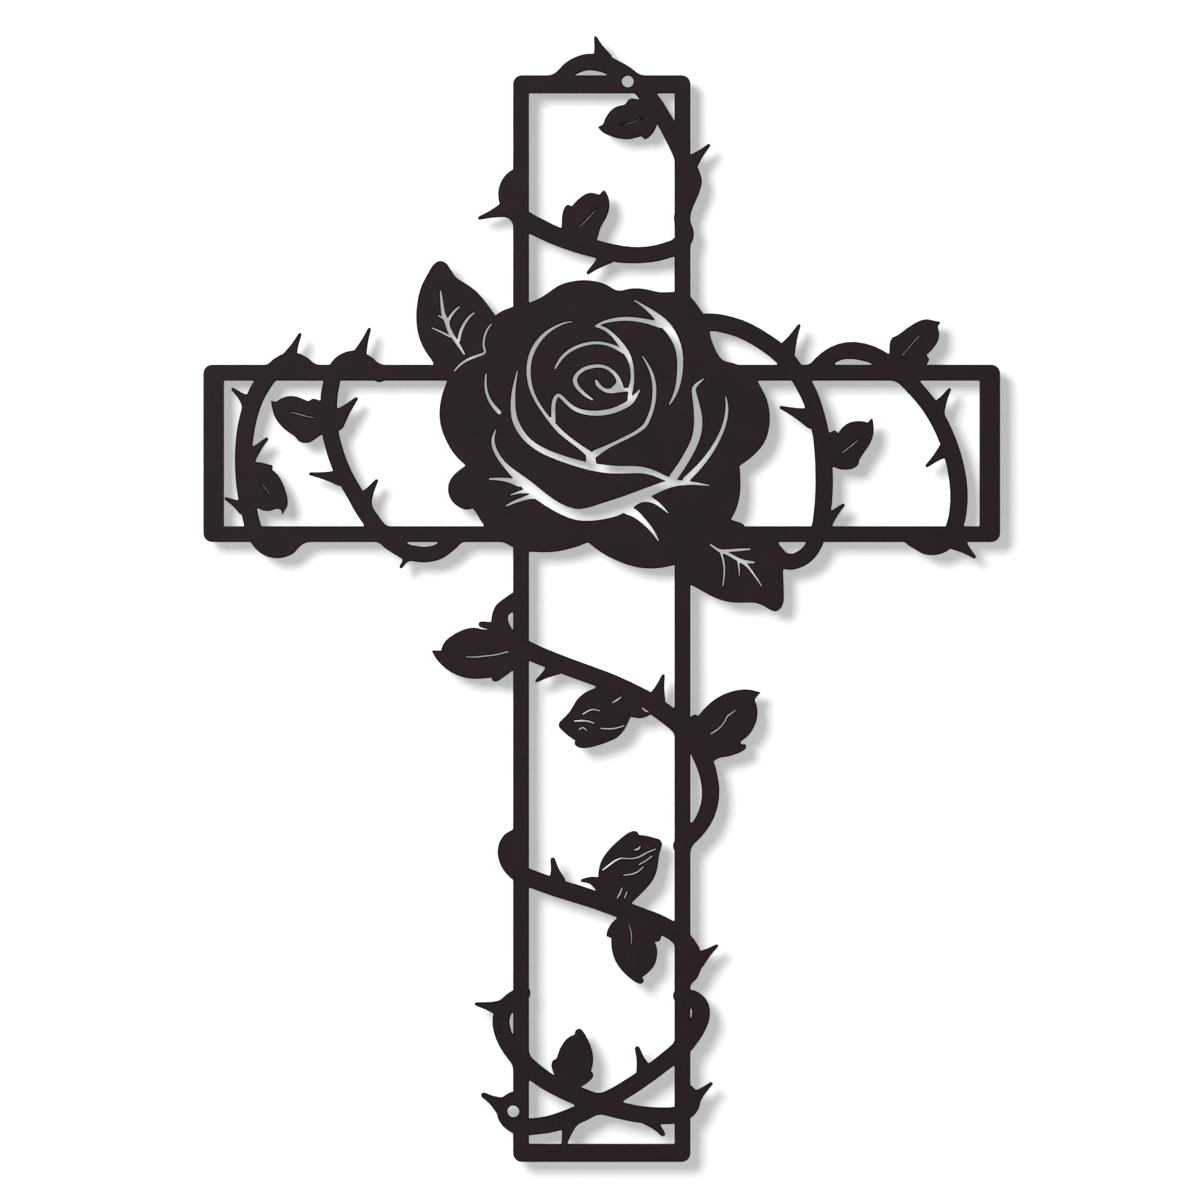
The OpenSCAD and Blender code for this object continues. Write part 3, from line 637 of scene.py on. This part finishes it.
class CutPattern:
    """The plate's closed lines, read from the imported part, with true circles for its holes."""

    CIRCLE_POINTS = 120
    SHORTEST_EDGE = 0.22 * MM
    WELD = 2e-6
    BORE_FIT = 0.2

    def __init__(self, plate: bpy.types.Object, record: dict[str, Any]) -> None:
        """Reads the part.

        Args:
            plate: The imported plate's object.
            record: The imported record, whose bores are the drilled holes.
        """
        self.bores = [
            (np.array(m["pos_m"])[[0, 2]], m["dims"]["r_mm"] * MM)
            for m in record["mounts"]
            if m["kind"] == "bore"
        ]
        self.thickness, self.raw = self._front_lines(plate)

    def _front_lines(self, plate: bpy.types.Object) -> tuple[float, list[Outline]]:
        """Follows the edges of the front face.

        Args:
            plate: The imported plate's object.

        Returns:
            The plate's thickness and its closed lines.
        """
        mesh = bmesh.new()
        mesh.from_mesh(plate.data)
        bmesh.ops.remove_doubles(mesh, verts=mesh.verts, dist=self.WELD)
        depths = [v.co.y for v in mesh.verts]
        front = min(depths)
        following: dict[int, int] = {}
        place: dict[int, tuple[float, float]] = {}
        for face in mesh.faces:
            if any(abs(v.co.y - front) > self.WELD for v in face.verts):
                continue
            for loop in face.loops:
                other = [f for f in loop.edge.link_faces if f != face]
                if all(abs(v.co.y - front) <= self.WELD for f in other for v in f.verts):
                    continue
                start, end = loop.vert, loop.link_loop_next.vert
                following[start.index] = end.index
                place[start.index] = (start.co.x, start.co.z)
        mesh.free()
        lines = []
        while following:
            first = next(iter(following))
            chain, here = [], first
            while here in following:
                chain.append(place[here])
                here = following.pop(here)
            lines.append(Outline(np.array(chain, float)))
        return max(depths) - front, lines

    def lines(self, easing: Easing) -> list[Outline]:
        """The finished lines.

        Args:
            easing: How the corners are rounded.

        Returns:
            Every closed line of the pattern, the drilled holes as circles.
        """
        drawn = []
        for line in self.raw:
            bore = self._bore_of(line)
            if bore is None:
                drawn.append(line.welded(self.SHORTEST_EDGE).eased(easing))
            else:
                drawn.append(self._circle(*bore))
        return drawn

    def _bore_of(self, line: Outline) -> Optional[tuple[np.ndarray, float]]:
        """The drilled hole that a line follows.

        Args:
            line: A closed line.

        Returns:
            The hole's centre and radius, or None.
        """
        for centre, radius in self.bores:
            from_centre = np.linalg.norm(line.points - centre, axis=1)
            if np.abs(from_centre - radius).max() < self.BORE_FIT * radius:
                return centre, radius
        return None

    def _circle(self, centre: np.ndarray, radius: float) -> Outline:
        """A hole's circle, run so that the metal is on its left.

        Args:
            centre: The hole's centre, in x and z.
            radius: Its radius.

        Returns:
            The closed line.
        """
        angles = -2 * math.pi * np.arange(self.CIRCLE_POINTS) / self.CIRCLE_POINTS
        round_points = np.stack([np.cos(angles), np.sin(angles)], axis=1)
        return Outline(centre + radius * round_points)


@dataclass
class RimRoom:
    """Finds how much of the full edge rounding has room at each point of the lines.

    Attributes:
        lines: The closed lines.
        inset: Width of the full rounding and its land.
        block: How many points are tested at a time.
        disc_share: The share of the largest disc that the rounding may use.
        least_share: The least share that a disc sets.
        rounds: The most times that crossing lines are cut back.
        cut_back: What each cut leaves.
    """

    lines: Sequence[Outline]
    inset: float
    block: int = 256
    disc_share: float = 0.8
    least_share: float = 0.02
    rounds: int = 12
    cut_back: float = 0.6

    PARALLEL = 1e-18

    def __post_init__(self) -> None:
        """Joins the lines' points, and notes which point follows each."""
        self.points = np.concatenate([line.points for line in self.lines])
        self.inward = np.concatenate([line.inward for line in self.lines])
        following, first = [], 0
        for line in self.lines:
            count = len(line.points)
            following.append(first + (np.arange(count) + 1) % count)
            first += count
        self.following = np.concatenate(following)

    def shares(self) -> np.ndarray:
        """Works out the shares.

        Returns:
            A share for each point, line after line, above 0 and at most 1.
        """
        shares = self._disc_shares()
        changed = shares < 1
        for _ in range(self.rounds):
            changed = self._crossed(shares, changed)
            if not changed.any():
                break
            shares[changed] *= self.cut_back
        return shares

    def _disc_shares(self) -> np.ndarray:
        """Shares that keep to the largest disc in the metal that touches the line at each point.

        Returns:
            A share for each point.
        """
        radii = np.empty(len(self.points))
        for start in range(0, len(self.points), self.block):
            here = slice(start, start + self.block)
            apart = self.points[None, :, :] - self.points[here, None, :]
            ahead = (apart * self.inward[here, None, :]).sum(axis=2)
            squared = (apart**2).sum(axis=2)
            far = 2 * np.maximum(ahead, NEARLY_ZERO)
            radius = np.where(ahead > NEARLY_ZERO, squared / far, np.inf)
            radii[here] = radius.min(axis=1)
        return np.clip(self.disc_share * radii / self.inset, self.least_share, 1.0)

    def _crossed(self, shares: np.ndarray, changed: np.ndarray) -> np.ndarray:
        """Finds the points whose inset line turns back or crosses another inset line.

        Args:
            shares: The shares to test.
            changed: True at the points whose edges are tested.

        Returns:
            True at each such point.
        """
        inner = self.points + self.inward * (shares * self.inset)[:, None]
        after = self.following
        edges = inner[after] - inner
        turned = (edges * (self.points[after] - self.points)).sum(axis=1) <= 0
        crossed = np.zeros(len(shares), bool)
        crossed[turned] = crossed[after[turned]] = True
        suspects = np.nonzero(changed | changed[after])[0]
        for start in range(0, len(suspects), self.block):
            i = suspects[start : start + self.block, None]
            j = np.arange(len(shares))[None, :]
            apart = inner[j] - inner[i]
            bottom = self._cross(edges[i], edges[j])
            bottom = np.where(np.abs(bottom) < self.PARALLEL, np.inf, bottom)
            along = self._cross(apart, edges[j]) / bottom
            other = self._cross(apart, edges[i]) / bottom
            meet = (along >= 0) & (along <= 1) & (other >= 0) & (other <= 1)
            meet &= (i != j) & (after[i] != j) & (after[j] != i)
            rows, columns = np.nonzero(meet)
            for found in (i[rows, 0], columns):
                crossed[found] = crossed[after[found]] = True
        return crossed

    @staticmethod
    def _cross(first: np.ndarray, second: np.ndarray) -> np.ndarray:
        """The cross product of flat vectors."""
        return first[..., 0] * second[..., 1] - first[..., 1] * second[..., 0]


# ---- The plate's solid form ----


@dataclass
class PlateForm:
    """The Geometry Nodes tree that gives the cut lines their rounded, coated solid.

    Attributes:
        edge_radius: Radius of the rounded edges.
        land: Width of the flat land inside each rounded edge.
        edge_steps: Edges in each rounded edge's quarter turn.
    """

    edge_radius: float = 0.35 * MM
    land: float = 0.20 * MM
    edge_steps: int = 3

    RIM = "rim"
    MERGE = 2e-7

    @property
    def inset(self) -> float:
        """Width of the rounding and of the narrow flat land inside it."""
        return self.edge_radius + self.land

    def tree(self, coat: bpy.types.Material) -> bpy.types.NodeTree:
        """Builds the tree.

        Args:
            coat: The material it sets.

        Returns:
            The tree, with inputs Lines, Thickness, Edge radius, Land and Edge steps.
        """
        tree = bpy.data.node_groups.new("coated_plate", "GeometryNodeTree")
        face = tree.interface
        face.new_socket("Lines", in_out="INPUT", socket_type="NodeSocketGeometry")
        for name in ("Thickness", "Edge radius", "Land"):
            face.new_socket(name, in_out="INPUT", socket_type="NodeSocketFloat")
        face.new_socket("Edge steps", in_out="INPUT", socket_type="NodeSocketInt")
        face.new_socket("Plate", in_out="OUTPUT", socket_type="NodeSocketGeometry")
        graph = Graph(tree)
        lines, thickness, radius, land, steps = graph.node("NodeGroupInput")[:5]
        lines, inward = self._with_inward(graph, lines)
        rim = self._rim(graph, lines, inward, thickness, radius, land, steps)
        reach = radius + land
        front = self._flat(graph, lines, inward, reach, thickness, Face.FRONT)
        back = self._flat(graph, lines, inward, reach, thickness, Face.BACK)
        joined = graph.node("GeometryNodeJoinGeometry", inputs={0: [rim, front, back]})[0]
        solid = graph.node(
            "GeometryNodeMergeByDistance", inputs={0: joined, "Distance": self.MERGE}
        )[0]
        stood = graph.node(
            "GeometryNodeTransform", inputs={0: solid, "Rotation": (math.pi / 2, 0.0, 0.0)}
        )[0]
        whole = graph.node("GeometryNodeRealizeInstances", inputs={0: stood})[0]
        coated = graph.node("GeometryNodeSetMaterial", inputs={0: whole, "Material": coat})[0]
        graph.link(coated, "NodeGroupOutput", "Plate")
        return tree

    @staticmethod
    def _with_inward(graph: Graph, lines: Signal) -> tuple[Signal, Signal]:
        """Stores each line's own places, and the direction into the metal scaled by the room.

        Args:
            graph: The tree.
            lines: The closed lines, whose radius is the share of the rounding that has room.

        Returns:
            The lines with both stored, and the stored direction.
        """
        tangent = graph.node("GeometryNodeInputTangent")[0]
        across = graph.node(
            "ShaderNodeVectorMath",
            {"operation": "CROSS_PRODUCT"},
            {0: (0.0, 0.0, 1.0), 1: tangent},
        )[0]
        share = graph.node("GeometryNodeInputRadius")[0]
        scaled = graph.node(
            "ShaderNodeVectorMath", {"operation": "SCALE"}, {0: across, "Scale": share}
        )[0]
        place = graph.node("GeometryNodeInputPosition")[0]
        stored = lines
        for name, value in (("inward", scaled), ("on_line", place)):
            stored = graph.node(
                "GeometryNodeStoreNamedAttribute",
                {"data_type": "FLOAT_VECTOR", "domain": "POINT"},
                {0: stored, "Name": name, "Value": value},
            )[0]
        read = graph.node(
            "GeometryNodeInputNamedAttribute", {"data_type": "FLOAT_VECTOR"}, {"Name": "inward"}
        )[0]
        return stored, read

    def _rim(
        self,
        graph: Graph,
        lines: Signal,
        inward: Signal,
        thickness: Signal,
        radius: Signal,
        land: Signal,
        steps: Signal,
    ) -> Signal:
        """Sweeps the side and both rounded edges along every line.

        Args:
            graph: The tree.
            lines: The closed lines.
            inward: The stored direction into the metal.
            thickness: The plate's thickness.
            radius: Radius of the rounded edges.
            land: Width of the flat land inside each rounded edge.
            steps: Edges in each rounded edge's quarter turn.

        Returns:
            The swept mesh, smooth, with the attribute that marks it.
        """
        # Each half of the profile has the land's point and the rounding's steps + 1 points.
        half = steps + 2
        profile = graph.node(
            "GeometryNodeCurvePrimitiveLine", inputs={"End": (0.0, 1.0, 0.0)}
        )[0]
        profile = graph.node(
            "GeometryNodeResampleCurve", inputs={"Curve": profile, "Count": half * 2}
        )[0]
        index = graph.node("GeometryNodeInputIndex")[0]
        from_end = index.least(half * 2 - 1 - index)
        quarter = (from_end - 1).largest(0.0) / steps * (math.pi / 2)
        depth = radius * (1 - quarter.sine()) + land * (1 - from_end.least(1.0))
        rise = radius * (1 - quarter.cosine())
        upper = index > half - 0.5
        height = rise + upper * (thickness - 2 * rise)
        for name, value in (("rim_depth", depth), ("rim_height", height)):
            profile = graph.node(
                "GeometryNodeStoreNamedAttribute",
                {"data_type": "FLOAT", "domain": "POINT"},
                {0: profile, "Name": name, "Value": value},
            )[0]
        even = graph.node("GeometryNodeSetCurveRadius", inputs={0: lines, "Radius": 1.0})[0]
        swept = graph.node(
            "GeometryNodeCurveToMesh", inputs={0: even, 1: profile, "Scale": 1.0}
        )[0]
        depth, height = (
            graph.node("GeometryNodeInputNamedAttribute", {"data_type": "FLOAT"}, {"Name": n})[0]
            for n in ("rim_depth", "rim_height")
        )
        line_place = graph.node(
            "GeometryNodeInputNamedAttribute", {"data_type": "FLOAT_VECTOR"}, {"Name": "on_line"}
        )[0]
        shift = graph.node(
            "ShaderNodeVectorMath", {"operation": "SCALE"}, {0: inward, "Scale": depth}
        )[0]
        lift = graph.node("ShaderNodeCombineXYZ", inputs={"Z": height})[0]
        place = graph.node(
            "ShaderNodeVectorMath", {"operation": "ADD"}, {0: line_place, 1: shift}
        )[0]
        place = graph.node("ShaderNodeVectorMath", {"operation": "ADD"}, {0: place, 1: lift})[0]
        shaped = graph.node(
            "GeometryNodeSetPosition", inputs={0: swept, "Position": place}
        )[0]
        marked = graph.node(
            "GeometryNodeStoreNamedAttribute",
            {"data_type": "FLOAT", "domain": "FACE"},
            {0: shaped, "Name": self.RIM, "Value": 1.0},
        )[0]
        turned = graph.node("GeometryNodeFlipFaces", inputs={0: marked})[0]
        return graph.node(
            "GeometryNodeSetShadeSmooth", inputs={0: turned, "Shade Smooth": True}
        )[0]

    @staticmethod
    def _flat(
        graph: Graph,
        lines: Signal,
        inward: Signal,
        reach: Signal,
        thickness: Signal,
        side: Face,
    ) -> Signal:
        """Fills one flat face between the rounded edges.

        Args:
            graph: The tree.
            lines: The closed lines.
            inward: The stored direction into the metal.
            reach: How far the flat stops short of the lines.
            thickness: The plate's thickness.
            side: Which face this is.

        Returns:
            The flat face, facing outward.
        """
        shift = graph.node(
            "ShaderNodeVectorMath", {"operation": "SCALE"}, {0: inward, "Scale": reach}
        )[0]
        inner = graph.node("GeometryNodeSetPosition", inputs={0: lines, "Offset": shift})[0]
        filled = graph.node("GeometryNodeFillCurve", {"mode": "TRIANGLES"}, {0: inner})[0]
        filled = graph.node(
            "GeometryNodeSetShadeSmooth", inputs={0: filled, "Shade Smooth": False}
        )[0]
        if side is Face.BACK:
            return graph.node("GeometryNodeFlipFaces", inputs={0: filled})[0]
        raised = graph.node("ShaderNodeCombineXYZ", inputs={"Z": thickness})[0]
        return graph.node(
            "GeometryNodeTransform", inputs={0: filled, "Translation": raised}
        )[0]


# ---- The cross ----


@dataclass
class WallCross:
    """The whole cross: one cut plate, coated all over."""

    plate: bpy.types.Object
    record: dict[str, Any]
    easing: Easing = field(default_factory=Easing)
    form: PlateForm = field(default_factory=PlateForm)
    coat: PowderCoat = field(default_factory=PowderCoat)

    def build(self) -> bpy.types.Object:
        """Makes the coated plate and puts it on the part's body.

        Returns:
            The finished object.
        """
        pattern = CutPattern(self.plate, self.record)
        lines = pattern.lines(self.easing)
        shares = RimRoom(lines, self.form.inset).shares()
        log.info("cut pattern: %d closed lines, %d points", len(lines), len(shares))
        log.info("edge rounding is narrowed at %d points", int((shares < 1).sum()))
        source = self._line_object(lines, shares)
        coat = self.coat.build(pattern.thickness)
        self._add_form(source, coat, pattern.thickness)
        finished = self._as_mesh(source, coat)
        bpy.data.objects.remove(source)
        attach(finished, BODY)
        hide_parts(PLATE_NODE)
        return finished

    @staticmethod
    def _line_object(lines: Sequence[Outline], shares: np.ndarray) -> bpy.types.Object:
        """Makes the lines' curve object, flat in its own x and y.

        Args:
            lines: The closed lines, in the part's x and z.
            shares: Each point's share of the rounding, kept as its radius.

        Returns:
            The curve object.
        """
        curve = bpy.data.curves.new("cut_lines", "CURVE")
        curve.dimensions = "3D"
        first = 0
        for line in lines:
            spline = curve.splines.new("POLY")
            spline.points.add(len(line.points) - 1)
            spline.use_cyclic_u = True
            for point, (x, z) in zip(spline.points, line.points):
                point.co = (x, z, 0.0, 1.0)
                point.radius = shares[first]
                first += 1
        source = bpy.data.objects.new("cut_lines", curve)
        bpy.context.scene.collection.objects.link(source)
        return source

    def _add_form(
        self, source: bpy.types.Object, coat: bpy.types.Material, thickness: float
    ) -> None:
        """Adds the form's tree to the curve object and sets its inputs.

        Args:
            source: The curve object.
            coat: The material the tree sets.
            thickness: The plate's thickness.
        """
        modifier = source.modifiers.new("coated_plate", "NODES")
        modifier.node_group = self.form.tree(coat)
        values = {
            "Thickness": thickness,
            "Edge radius": self.form.edge_radius,
            "Land": self.form.land,
            "Edge steps": self.form.edge_steps,
        }
        for item in modifier.node_group.interface.items_tree:
            if item.in_out == "INPUT" and item.name in values:
                modifier[item.identifier] = values[item.name]

    @staticmethod
    def _as_mesh(source: bpy.types.Object, coat: bpy.types.Material) -> bpy.types.Object:
        """Turns the evaluated form into a plain mesh object.

        Args:
            source: The curve object with its modifier.
            coat: The plate's material.

        Returns:
            The mesh object, at the origin.
        """
        evaluated = source.evaluated_get(bpy.context.evaluated_depsgraph_get())
        mesh = bpy.data.meshes.new_from_object(evaluated)
        mesh.name = "coated_rose_cross"
        for name in ("inward", "rim_depth", "rim_height", "on_line"):
            if name in mesh.attributes:
                mesh.attributes.remove(mesh.attributes[name])
        mesh.materials.clear()
        mesh.materials.append(coat)
        source.modifiers.clear()
        finished = bpy.data.objects.new("coated_rose_cross", mesh)
        bpy.context.scene.collection.objects.link(finished)
        return finished


# ---- The studio ----


@dataclass
class Lamp:
    """A soft square lamp, aimed at the cross.

    Attributes:
        name: The lamp's name.
        place: Where it stands.
        side: The length of its side.
        watts: Its power.
    """

    name: str
    place: Vector
    side: float
    watts: float

    def build(self, target: Vector) -> bpy.types.Object:
        """Makes the lamp.

        Args:
            target: The point it is aimed at.

        Returns:
            The lamp's object.
        """
        light = bpy.data.lights.new(self.name, "AREA")
        light.shape = "SQUARE"
        light.size = self.side
        light.energy = self.watts
        lamp = bpy.data.objects.new(self.name, light)
        lamp.location = self.place
        lamp.rotation_euler = (target - self.place).to_track_quat("-Z", "Y").to_euler()
        bpy.context.scene.collection.objects.link(lamp)
        return lamp


@dataclass
class Studio:
    """Pale wall and floor, soft lamps and the camera.

    Attributes:
        middle: The middle of the cross's box, which the lamps are aimed at.
        wall_gap: From the plate's back to the wall.
        wall_size: The wall's width and height.
        floor_size: The floor's side.
        foot_room: From the cross's foot down to the floor.
        key_way: The direction from the cross to the key lamp.
        key_distance: How far away it is.
        key_side: Its side.
        key_watts: Its power.
        side_place: The side lamp's place, from the middle.
        side_side: Its side.
        side_watts: Its power.
        rear_place: The rear lamp's place, from the middle.
        rear_side: Its side.
        rear_watts: Its power.
        wall_paint: The wall's finish.
        floor_paint: The floor's finish.
        world_level: The strength of the even light.
        background_level: How bright the background looks where nothing stands.
        view_centre: The x and z at the middle of the camera's view.
        view_width: The width of its view at the plate's front.
        lens: Its focal length, in millimetres.
    """

    middle: Vector
    wall_gap: float = 8 * MM
    wall_size: tuple[float, float] = (6.0, 3.4)
    floor_size: float = 12.0
    foot_room: float = 0.35
    key_way: tuple[float, float, float] = (-0.50, -1.0, 0.43)
    key_distance: float = 2.4
    key_side: float = 0.9
    key_watts: float = 66.0
    side_place: tuple[float, float, float] = (2.2, -0.22, -0.5)
    side_side: float = 0.8
    side_watts: float = 14.0
    rear_place: tuple[float, float, float] = (-0.9, 1.8, 1.1)
    rear_side: float = 1.2
    rear_watts: float = 60.0
    wall_paint: StudioPaint = StudioPaint("studio_wall_paint", tone=0.65, lift=0.42)
    floor_paint: StudioPaint = StudioPaint("studio_floor_paint", tone=0.20, lift=0.75)
    world_level: float = 0.12
    background_level: float = 0.92
    view_centre: tuple[float, float] = (-11.1 * MM, -207.5 * MM)
    view_width: float = 480 * MM
    lens: float = 200.0

    def build(self, lowest: float, front: float) -> None:
        """Makes the studio.

        Args:
            lowest: The height of the cross's lowest point.
            front: The y of the cross's front face.
        """
        self._wall(lowest - self.foot_room)
        self._floor(lowest - self.foot_room)
        self._lamps()
        self._world()
        self._camera(front)
        bpy.context.scene.view_settings.view_transform = "Standard"

    @staticmethod
    def _sheet(
        name: str, paint: StudioPaint, corners: Sequence[tuple[float, float, float]]
    ) -> None:
        """Makes a flat painted sheet that isn't part of the object and casts no shadow.

        Args:
            name: Its name.
            paint: Its finish.
            corners: Its four corners, anticlockwise from the side that shows.
        """
        mesh = bpy.data.meshes.new(name)
        mesh.from_pydata(corners, [], [(0, 1, 2, 3)])
        mesh.materials.append(paint.build())
        sheet = bpy.data.objects.new(name, mesh)
        sheet.visible_shadow = False
        bpy.context.scene.collection.objects.link(sheet)

    def _wall(self, low: float) -> None:
        """Makes the wall.

        Args:
            low: The floor's height.
        """
        half, height = self.wall_size[0] / 2, self.wall_size[1]
        y = self.wall_gap
        self._sheet(
            "studio_wall",
            self.wall_paint,
            [(-half, y, low), (half, y, low), (half, y, low + height), (-half, y, low + height)],
        )

    def _floor(self, low: float) -> None:
        """Makes the floor.

        Args:
            low: Its height.
        """
        half = self.floor_size / 2
        self._sheet(
            "studio_floor",
            self.floor_paint,
            [(-half, -half, low), (half, -half, low), (half, half, low), (-half, half, low)],
        )

    def _lamps(self) -> None:
        """Makes the key lamp at the upper left, a grazing side lamp, and one behind."""
        key_way = Vector(self.key_way).normalized()
        key = self.middle + key_way * self.key_distance
        Lamp("key_lamp", key, self.key_side, self.key_watts).build(self.middle)
        side = self.middle + Vector(self.side_place)
        Lamp("side_lamp", side, self.side_side, self.side_watts).build(self.middle)
        rear = self.middle + Vector(self.rear_place)
        Lamp("rear_lamp", rear, self.rear_side, self.rear_watts).build(self.middle)

    def _world(self) -> None:
        """Makes the even light from all round, and the pale background."""
        world = bpy.data.worlds.new("studio")
        world.use_nodes = True
        world.node_tree.nodes.clear()
        bpy.context.scene.world = world
        graph = Graph(world.node_tree)
        seen = graph.node("ShaderNodeLightPath")[Port.PATH_CAMERA_RAY]
        strength = self.world_level + seen * (self.background_level - self.world_level)
        sky = graph.node("ShaderNodeBackground", inputs={"Strength": strength})[0]
        graph.link(sky, "ShaderNodeOutputWorld", "Surface")

    def _camera(self, front: float) -> None:
        """Makes the camera, square on to the cross, with a long lens.

        Args:
            front: The y of the cross's front face.
        """
        camera = bpy.data.cameras.new("camera")
        camera.lens = self.lens
        distance = self.view_width * self.lens / camera.sensor_width
        stand = bpy.data.objects.new("camera", camera)
        stand.location = (self.view_centre[0], front - distance, self.view_centre[1])
        stand.rotation_euler = (math.pi / 2, 0.0, 0.0)
        bpy.context.scene.collection.objects.link(stand)
        bpy.context.scene.camera = stand


def corners(box: tuple[Vector, Vector]) -> list[list[float]]:
    """A box's lowest and highest corners as plain lists."""
    return [[float(v) for v in corner] for corner in box]


def main() -> None:
    """Builds the cross and the studio."""
    logging.basicConfig(level=logging.INFO, format="%(name)s: %(message)s")
    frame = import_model()
    low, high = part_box(PLATE_NODE)
    cross = WallCross(frame["nodes"][PLATE_NODE], frame["record"]).build()
    log.info("%s: %d faces", cross.name, len(cross.data.polygons))
    Studio(middle=(low + high) / 2).build(lowest=low.z, front=low.y)
    log.info("studio: wall, floor, lamps and camera")


if __name__ == "__main__":
    main()
